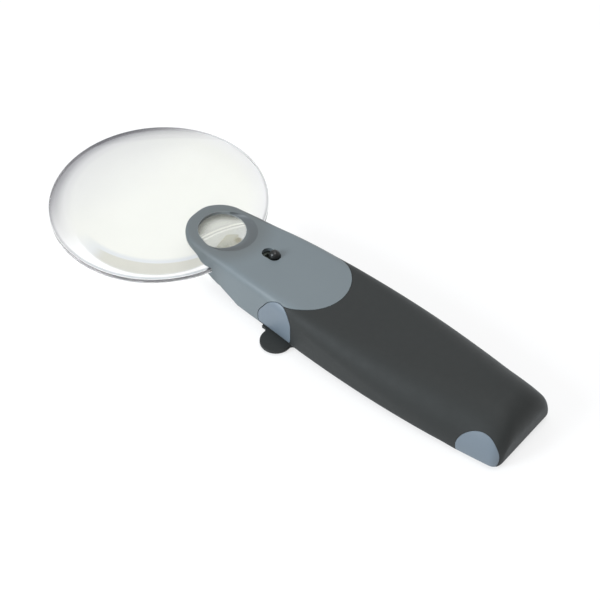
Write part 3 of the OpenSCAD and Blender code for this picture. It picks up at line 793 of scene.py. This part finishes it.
# ------------------------------------------------------------------ the housings
def scoop(n=128):
    """The dished approach to the small lens, wider towards the tail, as a closed cutter."""
    rows = []
    steps = 9
    for i in range(steps + 1):
        t = i / steps
        z = 5.15 + 2.3 * t
        k = t ** 0.72
        cx, cy = SPOT_X + 4.5 * k, 0.5 * k
        r = SPOT_D / 2 + 1.95 * k
        rows.append([(cx + r * math.cos(2 * math.pi * j / n), cy + r * math.sin(2 * math.pi * j / n), z) for j in range(n)])
    rows.append([(SPOT_X + 4.5 * 1.35 + (SPOT_D / 2 + 1.95 * 1.35) * math.cos(2 * math.pi * j / n),
                  0.5 * 1.35 + (SPOT_D / 2 + 1.95 * 1.35) * math.sin(2 * math.pi * j / n), 9.0) for j in range(n)])
    v = [p for r in rows for p in r]
    k = len(rows)
    f = [tuple(range(n)), tuple((k - 1) * n + j for j in range(n - 1, -1, -1))]
    for i in range(k - 1):
        for j in range(n):
            f.append((i * n + j, i * n + (j + 1) % n, (i + 1) * n + (j + 1) % n, (i + 1) * n + j))
    return fix(mesh_from("tmp", v, f))


def slot_cutter(r, z0, z1, n=40):
    x1, x0 = KNOB_X, KNOB_X - TRAVEL - 0.2
    pts = [(x1 + r * math.cos(a), KNOB_Y + r * math.sin(a)) for a in np.linspace(-math.pi / 2, math.pi / 2, n)]
    pts += [(x0 + r * math.cos(a), KNOB_Y + r * math.sin(a)) for a in np.linspace(math.pi / 2, 3 * math.pi / 2, n)]
    return prism(pts, z0, z1, "z")


def below_seam(d):
    return prism([(30, -4.3 - d), (44.5, -4.8 - d), (53.2, Z_HEAD - d), (70, Z_HEAD - d), (70, -20), (30, -20)], -30, 30)


def led_axis(d0, d1, r, n=64):
    ob = grid_cyl("tmp", [(0, 0), (r, 0), (r, d1 - d0), (0, d1 - d0)], n)
    ob.data.transform(Matrix.Translation((LED_X, 0, RAMP_Z - (LED_X - RAMP_X) * RAMP_K)) @ Matrix.Rotation(RAMP_A, 4, "Y") @ Matrix.Translation((0, 0, d0)))
    return ob


def build_head_plate():
    a = minus(outer(), inner())
    a = minus(a, below_seam(0), box(30, 70, -13.05, 13.05, -20, -1.15))
    rear = minus(box(DISC_X, 200, -30, 30, -21, 21), cyl(DISC_X, 0, 4, 22, DISC_R, 256))
    a = minus(a, rear, box(DISC_X - 0.001, 201, -31, 31, -22, 5.2), inlay_shape(GAP, -30, -10), inlay_shape(GAP, 10, 30),
              box(66, 90, -30, 30, -20, Z_HEAD))
    posts = [cyl(51.5, y, LENS_EDGE / 2 + 0.02, 6, 2.6) for y in (-6.5, 6.5)] + [cyl(72, y, 1.2, 6.2, 2.2) for y in (-7, 7)]
    a = plus(a, *posts)
    a = minus(a, biconvex(), box(43.5, 56.2, -9.7, 9.7, -1.2, LENS_EDGE / 2 + 0.01),
              cyl(SPOT_X, 0, -1, SPOT_Z + 1.02, SPOT_D / 2 + 0.8, 128), cyl(SPOT_X, 0, 0, 9, SPOT_D / 2, 128), scoop(),
              *[cyl(51.5, y, 0, 4.8, 0.9, 32) for y in (-6.5, 6.5)], *[cyl(72, y, 0, 4.6, 0.8, 32) for y in (-7, 7)],
              slot_cutter(SLOT_R, 3, 9))
    return finish_piece(a, "head_plate_skin", "housing", ["head_plate"], M_HEAD)


def build_head_lower():
    a = minus(outer(), inner())
    s = copy(a)
    a = common(a, common(below_seam(SEAM), box(30, 67.95, -30, 30, -21, 0)))
    b = common(s, box(39.5, 48.5, -12.95, 12.95, -9, -1.3))
    a = plus(a, b)
    extra = plus(*[cyl(51.5, y, -10.8, -LENS_EDGE / 2 - 0.02, 2.9) for y in (-6.5, 6.5)], led_axis(0.5, 4.2, 4.3))
    a = plus(a, common(outer(), extra))
    a = minus(a, biconvex(), inlay_shape(GAP, -30, -10), inlay_shape(GAP, 10, 30),
              *[cyl(51.5, y, -20, -4.6, 2.1) for y in (-6.5, 6.5)], *[cyl(51.5, y, -6, 2, 1.2, 32) for y in (-6.5, 6.5)],
              led_axis(-3, 1.3, 3.6), led_axis(-3, 4.5, 3.2))
    return finish_piece(a, "head_lower_skin", "housing", ["head_lower_shell"], M_HEAD)


def build_handle():
    a = minus(outer(), inner())
    a = minus(a, box(0, DISC_X + SEAM, -30, 30, -21, 21), box(0, 175.1, -31, 31, -22, Z_LID), cyl(DISC_X, 0, 4.5, 20, DISC_R + 0.15, 256))
    inside = plus(box(90.8, 92.2, -30, 30, Z_LID, 7), box(149.8, 151.3, -30, 30, Z_LID, 7), box(95, 147, -0.35, 0.35, 1.2, 7),
                  *[cyl(160.5, y, -3.6, 6, 2.4) for y in (-12, 12)])
    a = plus(a, common(outer(), inside))
    a = minus(a, cyl(DISC_X, 0, 4.4, 21, DISC_R + 0.15, 256), inlay_shape(GAP, -30, -10), inlay_shape(GAP, 10, 30),
              tail_shape(0.06, -30, -11.85), tail_shape(0.06, 11.85, 30), box(166.5, 175.15, -15, 15, -20, -7.2),
              *[cyl(y, -1, 90, 93, 0.9, 32, "x") for y in (-12.6, 12.6)], *[cyl(160.5, y, -8, 2, 0.9, 32) for y in (-12, 12)])
    return finish_piece(a, "handle_skin", "housing", ["handle_upper_shell"], M_SOFT)


def inlay_skin(s):
    a = minus(outer(), inner())
    return common(a, inlay_shape(0, 14.4 if s > 0 else -30, 30 if s > 0 else -14.4), box(60, 95, -31, 31, Z_LID + SEAM, 20))


def build_far_inlay():
    a = plus(inlay_skin(1), common(inner(), box(73, 81, 14.5, 18, -6, -5)))
    return finish_piece(a, "far_inlay_skin", "housing", ["far_inlay"], M_INLAY)


def build_latch():
    a = plus(inlay_skin(-1), cyl(77.4, -3.5, -17.2, -14.4, 2.4, 64, "y"))
    a = minus(a, cyl(77.4, -3.5, -16.2, -14, 1.7, 64, "y"))
    return finish_piece(a, "latch_button_skin", "latch", ["latch_button"], M_INLAY)


def build_bracket():
    a = minus(outer(), inner())
    b = copy(a)
    a = common(a, tail_shape(0, 11.9, 30))
    b = common(b, tail_shape(0, -30, -11.9))
    webs = plus(box(166.6, 175, -17.5, 17.5, -6.9, -5.1), *[box(169.2, 174, s * 13.2 - 1.2, s * 13.2 + 1.2, -10, -5.2) for s in (-1, 1)],
                box(158, 167, -14.5, 14.5, -5.3, -3.7))
    a = plus(a, b, common(inner(), webs), *[cyl(PIN_X, PIN_Z, s * 13.2 - 1.2, s * 13.2 + 1.2, 2.3, 64, "y") for s in (-1, 1)])
    a = minus(a, cyl(PIN_X, PIN_Z, -16, 16, PIN_R, 48, "y"), *[cyl(160.5, y, -8, 2, 1.2, 32) for y in (-12, 12)])
    return finish_piece(a, "tail_bracket_skin", "housing", ["hinge_bracket"], M_INLAY)


def stack(rows, closed_caps=True):
    """Closed solid through outlines that all have the same number of points; rows are lists of 3-D points."""
    n, k = len(rows[0]), len(rows)
    v = [p for r in rows for p in r]
    f = [tuple(range(n)), tuple((k - 1) * n + j for j in range(n - 1, -1, -1))]
    for i in range(k - 1):
        for j in range(n):
            f.append((i * n + j, i * n + (j + 1) % n, (i + 1) * n + (j + 1) % n, (i + 1) * n + j))
    return fix(mesh_from("tmp", v, f))


def build_lid():
    a = minus(outer(), inner())
    a = common(a, box(68.05, PIN_X, -30, 30, -21, Z_LID - SEAM))
    a = minus(a, tail_shape(0.3, 11.6, 31), tail_shape(0.3, -31, -11.6))
    # pull tab with a rounded rim
    e, z0, z1 = 0.42, Z_FLOOR + 0.5, Z_FLOOR + 1.9
    rows = []
    for t in np.linspace(0, 90, 6):
        g = -e * (1 - math.sin(math.radians(t)))
        rows.append([(p[0], p[1], z0 + e * (1 - math.cos(math.radians(t)))) for p in tab_points(g)])
    for t in np.linspace(90, 0, 6):
        g = -e * (1 - math.sin(math.radians(t)))
        rows.append([(p[0], p[1], z1 - e * (1 - math.cos(math.radians(t)))) for p in tab_points(g)])
    a = plus(a, stack(rows))
    a = plus(a, *[cyl(PIN_X, PIN_Z, s * 8.8 - 3, s * 8.8 + 3, KNUCKLE_R, 64, "y") for s in (-1, 1)],
             box(75.2, 79.2, -12.7, -11.7, -11.2, -3),
             *[box(98, 145, s * 15.4 - 0.5, s * 15.4 + 0.5, -11.2, -8.6) for s in (-1, 1)])
    a = minus(a, cyl(PIN_X, PIN_Z, -16, 16, PIN_R + PIN_GAP, 48, "y"))
    return finish_piece(a, "battery_lid_skin", "lid", ["battery_lid"], M_TAB)


def tab_points(grow):
    R, cx, cy, f, wall_y = 6.4 + grow, 79.3, -20.2, 1.6 - grow, -18.0
    dy = wall_y - f - cy - grow * 0
    hx = math.sqrt((R + f) ** 2 - dy * dy)
    a_t = math.atan2(dy, hx)
    pts = [(cx + 9, -15.5), (cx - 9, -15.5), (cx - 9, wall_y)]
    pts += [(cx - hx + f * math.cos(a), wall_y - f + f * math.sin(a)) for a in np.linspace(math.pi / 2, -a_t, 9)]
    pts += [(cx + R * math.cos(a), cy + R * math.sin(a)) for a in np.linspace(math.pi - a_t, 2 * math.pi + a_t, 74)[1:-1]]
    pts += [(cx + hx + f * math.cos(a), wall_y - f + f * math.sin(a)) for a in np.linspace(math.pi + a_t, math.pi / 2, 9)]
    pts.append((cx + 9, wall_y))
    return pts


def build_knob():
    r, zc = KNOB_D / 2, 7.85
    prof = [(0, 4.9), (r - 0.12, 4.9), (r - 0.12, 7.6), (r - 0.06, 7.78)]
    prof += [(r * math.cos(t), zc + r * math.sin(t)) for t in np.linspace(0.03, math.pi / 2, 28)[:-1]] + [(0, zc + r)]
    a = grid_cyl("tmp", prof, 96, "z", KNOB_X, KNOB_Y, 0)
    foot = box(KNOB_X - 1.5, KNOB_X + 1.5, KNOB_Y - 1.2, KNOB_Y + 1.2, 2.6, 5)
    a = plus(a, foot)
    return finish_piece(a, "knob_skin", "switch_slider", ["switch_knob"], M_KNOB, smooth=30, follow=False)


def lathe_piece(name, body, nodes, mat, prof, n, place=Matrix.Identity(4), smooth=25):
    a = grid_cyl("tmp", prof, n)
    a.data.transform(place)
    return finish_piece(a, name, body, nodes, mat, smooth=smooth, follow=False)


def sag(R, rr, r):
    return math.sqrt(R * R - r * r) - math.sqrt(R * R - rr * rr)


def build_main_lens():
    """The large lens with polished faces, a ground cylindrical edge and fine chamfers, and its clamping tongue."""
    rr, e, ch = LENS_D / 2, LENS_EDGE / 2, 0.12
    rings = [rr * math.sin(math.pi / 2 * i / 40) * (1 - ch / rr) for i in range(41)]
    top = [(r, e + sag(LENS_R, rr, r)) for r in rings]
    prof = top + [(rr, e - ch * 0.6), (rr, -(e - ch * 0.6))] + [(r, -z) for r, z in reversed(top)]
    a = grid_cyl("tmp", prof, 256)
    a = plus(a, box(40, 56, -9.5, 9.5, -e, e))
    a = minus(a, *[cyl(51.5, y, -3, 3, 1.3, 32) for y in (-6.5, 6.5)])
    ob = finish_piece(a, "main_lens_glass", "housing", ["main_lens"], M_LENS, smooth=12, follow=False)
    me = ob.data
    # polished faces take their normals from the sphere itself
    cn = [c.vector.copy() for c in me.corner_normals]
    z_off = math.sqrt(LENS_R**2 - rr * rr) - e
    for p in me.polygons:
        c = p.center
        u, v, z = c.x * 1000 + 68.5, c.y * 1000, c.z * 1000 - 12.5
        r = math.hypot(u, v)
        if r < rr - 0.15 and abs(p.normal.z) > 0.95 and abs(abs(z) - (e + sag(LENS_R, rr, min(r, rr)))) < 0.03:
            s = 1 if z > 0 else -1
            for li in p.loop_indices:
                q = me.vertices[me.loops[li].vertex_index].co
                n = Vector((q.x * 1000 + 68.5, q.y * 1000, q.z * 1000 - 12.5 + s * z_off))
                cn[li] = n.normalized()
    me.normals_split_custom_set([tuple(v) for v in cn])
    me.materials.append(M_RIM)
    me.materials.append(M_RIM_FAR)
    for p in me.polygons:
        c = p.center
        if math.hypot(c.x * 1000 + 68.5, c.y * 1000) > rr - 0.16 and c.x * 1000 + 68.5 < 44:
            a = math.degrees(math.atan2(c.y, c.x + 0.0685)) % 360
            p.material_index = 2 if 39 < a < 214 else 1
    ob.visible_shadow = False
    return ob


def build_spot_lens():
    rr = SPOT_D / 2
    prof = [(0, 0), (rr + 0.55, 0), (rr + 0.75, 0.2), (rr + 0.75, 1.0), (rr + 0.12, 1.0)]
    prof += [(r, 1 + sag(SPOT_R, rr, r)) for r in [rr * math.cos(t) for t in np.linspace(0.02, math.pi / 2, 30)[:-1]]]
    prof.append((0, 1 + sag(SPOT_R, rr, 0)))
    ob = lathe_piece("inspection_lens_glass", "housing", ["inspection_lens"], M_SPOT, prof, 160,
                     Matrix.Translation((SPOT_X, 0, SPOT_Z)), smooth=14)
    ob.visible_shadow = False
    return ob


def helix(name, body, nodes, mat, r0, r1, length, turns, wire, place, per=40, sides=12, dead=0.75):
    """A wound spring with closed end turns: radius r0 at h=0 to r1 at h=length."""
    N = int(turns * per)
    pts = []
    for i in range(N + 1):
        t = i / N
        k = t * turns
        if k < dead:
            h = wire + 0.0 * k
        elif k > turns - dead:
            h = length - wire
        else:
            s = (k - dead) / (turns - 2 * dead)
            s = s * s * (3 - 2 * s) * 0.25 + s * 0.75
            h = wire + (length - 2 * wire) * s
        r = r0 + (r1 - r0) * t
        a = 2 * math.pi * k
        pts.append(Vector((r * math.cos(a), r * math.sin(a), h)))
    verts, faces = [], []
    for i, p in enumerate(pts):
        d = (pts[min(i + 1, N)] - pts[max(i - 1, 0)]).normalized()
        u = Vector((p.x, p.y, 0)).normalized()
        u = (u - d * u.dot(d)).normalized()
        w = d.cross(u)
        verts += [tuple(p + wire * (math.cos(2 * math.pi * j / sides) * u + math.sin(2 * math.pi * j / sides) * w)) for j in range(sides)]
    for i in range(N):
        for j in range(sides):
            faces.append((i * sides + j, i * sides + (j + 1) % sides, (i + 1) * sides + (j + 1) % sides, (i + 1) * sides + j))
    faces += [tuple(range(sides - 1, -1, -1)), tuple(N * sides + j for j in range(sides))]
    ob = mesh_from("tmp", verts, faces)
    fix(ob)
    ob.data.transform(place)
    return finish_piece(ob, name, body, nodes, mat, smooth=50, follow=False)


build_head_plate()
build_head_lower()
build_handle()
build_far_inlay()
build_latch()
build_bracket()
build_lid()
build_knob()
build_main_lens()
build_spot_lens()

CELL_Y, CELL_Z = 7.55, -3.45
helix("contact_spring_far", "housing", ["contact_springs"], M_STEEL, 4.55, 2.2, 5.65, 4.5, 0.34,
      Matrix.Translation((92.86, CELL_Y, CELL_Z)) @ Matrix.Rotation(math.radians(90), 4, "Y"))
helix("contact_spring_near", "housing", [], M_STEEL, 4.55, 2.2, 5.65, 4.5, 0.34,
      Matrix.Translation((149.14, -CELL_Y, CELL_Z)) @ Matrix.Rotation(math.radians(-90), 4, "Y"))
helix("latch_spring_coil", "latch", ["latch_spring"], M_STEEL, 1.25, 1.25, 2.04, 4, 0.22,
      Matrix.Translation((77.4, -16.1, -3.5)) @ Matrix.Rotation(math.radians(-90), 4, "X"))

for o in (OUTER, INNER):
    bpy.data.objects.remove(o, do_unlink=True)

# ------------------------------------------------------------------ carried-over CAD pieces
def cell_material(name, flip):
    """A plain two-tone sleeve: dark with a copper-coloured shoulder band, bare metal at both ends."""
    m = material(name, (0.02, 0.021, 0.023), rough=0.28, coat=0.5, coat_rough=0.12, grain=1800, bump=0.02)
    nt = m.node_tree
    b = next(n for n in nt.nodes if n.type == "BSDF_PRINCIPLED")
    tc = next(n for n in nt.nodes if n.type == "TEX_COORD")
    sep = nt.nodes.new("ShaderNodeSeparateXYZ")
    nt.links.new(tc.outputs["Object"], sep.inputs[0])
    mr = nt.nodes.new("ShaderNodeMapRange")
    x0, x1 = (98.6, 149.1) if not flip else (143.4, 92.9)
    mr.inputs["From Min"].default_value = (x0 - 68.5) / 1000
    mr.inputs["From Max"].default_value = (x1 - 68.5) / 1000
    nt.links.new(sep.outputs["X"], mr.inputs["Value"])
    cr = nt.nodes.new("ShaderNodeValToRGB")
    cr.color_ramp.interpolation = "CONSTANT"
    e = cr.color_ramp.elements
    e[0].position, e[0].color = 0.0, (0.62, 0.62, 0.62, 1)
    e[1].position, e[1].color = 0.022, (0.02, 0.021, 0.023, 1)
    for pos, col in ((0.66, (0.60, 0.27, 0.11, 1)), (0.955, (0.02, 0.021, 0.023, 1)), (0.968, (0.66, 0.65, 0.62, 1))):
        k = e.new(pos)
        k.color = col
    nt.links.new(mr.outputs[0], cr.inputs[0])
    nt.links.new(cr.outputs[0], b.inputs["Base Color"])
    c2 = nt.nodes.new("ShaderNodeValToRGB")
    c2.color_ramp.interpolation = "CONSTANT"
    e = c2.color_ramp.elements
    e[0].position, e[0].color = 0.0, (1, 1, 1, 1)
    e[1].position, e[1].color = 0.022, (0.1, 0.1, 0.1, 1)
    for pos, col in ((0.66, (0.7, 0.7, 0.7, 1)), (0.955, (0.1, 0.1, 0.1, 1)), (0.968, (1, 1, 1, 1))):
        k = e.new(pos)
        k.color = col
    nt.links.new(mr.outputs[0], c2.inputs[0])
    nt.links.new(c2.outputs[0], b.inputs["Metallic"])
    return m


CARRIED = {
    "lens_screws": M_STEEL, "board_screws": M_STEEL, "bracket_screws": M_STEEL, "lid_hinge_pin": M_STEEL,
    "terminal_plates": M_STEEL, "bridge_contact": M_STEEL, "led_window": M_WINDOW, "led_collar": M_INNER, "led": M_LED,
    "circuit_board": M_BOARD, "resistor": M_RES, "switch_body": M_SWITCH_LIGHTENED, "lead_wires": M_WIRE,
    "battery_near": cell_material("m_cell_near", True), "battery_far": cell_material("m_cell_far", False),
}
for n, m in CARRIED.items():
    o = NODES[n]
    if not o.material_slots:
        o.data.materials.append(m)
    for s in o.material_slots:
        s.material = m

# ------------------------------------------------------------------ floor, light and camera
def stage_floor():
    """A wide seamless sheet: flat under the object, rising gently far behind it."""
    nx, ny = 41, 61
    v, f = [], []
    for i in range(nx):
        for j in range(ny):
            x = -3.2 + 6.4 * i / (nx - 1)
            y = -3.0 + 7.0 * j / (ny - 1)
            rise = max(0.0, y - 1.6)
            v.append((x, y, -0.0002 + 0.35 * rise * rise))
    for i in range(nx - 1):
        for j in range(ny - 1):
            f.append((i * ny + j, (i + 1) * ny + j, (i + 1) * ny + j + 1, i * ny + j + 1))
    ob = mesh_from("floor_sheet", v, f)
    ob.data.shade_smooth()
    m = material("m_floor", (0.30, 0.30, 0.30), rough=0.9, spec=0.05)
    b = next(n for n in m.node_tree.nodes if n.type == "BSDF_PRINCIPLED")
    b.inputs["Emission Color"].default_value = (1, 1, 1, 1)
    b.inputs["Emission Strength"].default_value = 0.69
    ob.data.materials.append(m)
    return ob


stage_floor()
scene.view_settings.view_transform = "Standard"
scene.view_settings.look = "None"
world = bpy.data.worlds.new("studio")
scene.world = world
world.use_nodes = True
wt = world.node_tree
bg = wt.nodes["Background"]
geo = wt.nodes.new("ShaderNodeTexCoord")
sep = wt.nodes.new("ShaderNodeSeparateXYZ")
ramp = wt.nodes.new("ShaderNodeValToRGB")
wt.links.new(geo.outputs["Generated"], sep.inputs[0])
wt.links.new(sep.outputs["Z"], ramp.inputs[0])
wt.links.new(ramp.outputs[0], bg.inputs["Color"])
e = ramp.color_ramp.elements
e[0].position, e[0].color = 0.02, (0.46, 0.465, 0.47, 1)
e[1].position, e[1].color = 0.75, (0.95, 0.97, 1.0, 1)
k = e.new(0.3)
k.color = (0.50, 0.51, 0.525, 1)
bg.inputs["Strength"].default_value = 0.62


def area(name, loc, target, size, power, color=(1, 1, 1), size_y=None):
    l = bpy.data.lights.new(name, "AREA")
    l.shape = "RECTANGLE"
    l.size = size
    l.size_y = size_y or size
    l.energy = power
    l.color = color
    o = bpy.data.objects.new(name, l)
    scene.collection.objects.link(o)
    o.location = loc
    o.rotation_euler = (Vector(target) - Vector(loc)).to_track_quat("-Z", "Y").to_euler()
    return o


area("softbox_back", (-0.62, 0.66, 0.98), (-0.03, 0.0, 0.0), 1.05, 2.0, (1.0, 0.995, 0.985))
area("key_top", (0.20, 0.06, 1.25), (0.0, 0, 0), 0.6, 5.4, (1.0, 0.995, 0.985))
area("band_near", (-0.40, -0.92, 0.50), (0.06, 0, 0), 0.42, 9.8, (0.86, 0.94, 1.0))

cam_data = bpy.data.cameras.new("camera")
cam = bpy.data.objects.new("camera", cam_data)
scene.collection.objects.link(cam)
scene.camera = cam
cam_data.lens = 102.0
cam_data.sensor_width = 36.0
cam_data.sensor_fit = "HORIZONTAL"
cam_data.clip_start, cam_data.clip_end = 0.01, 20
fw = Vector((-0.4318, 0.5257, -0.7329)).normalized()
rt = Vector((0.7727, 0.6347, 0.0)).normalized()
up = rt.cross(fw).normalized()
rt = fw.cross(up).normalized()
cam.matrix_world = Matrix(((rt.x, up.x, -fw.x, 0.29583), (rt.y, up.y, -fw.y, -0.35254), (rt.z, up.z, -fw.z, 0.49598), (0, 0, 0, 1)))
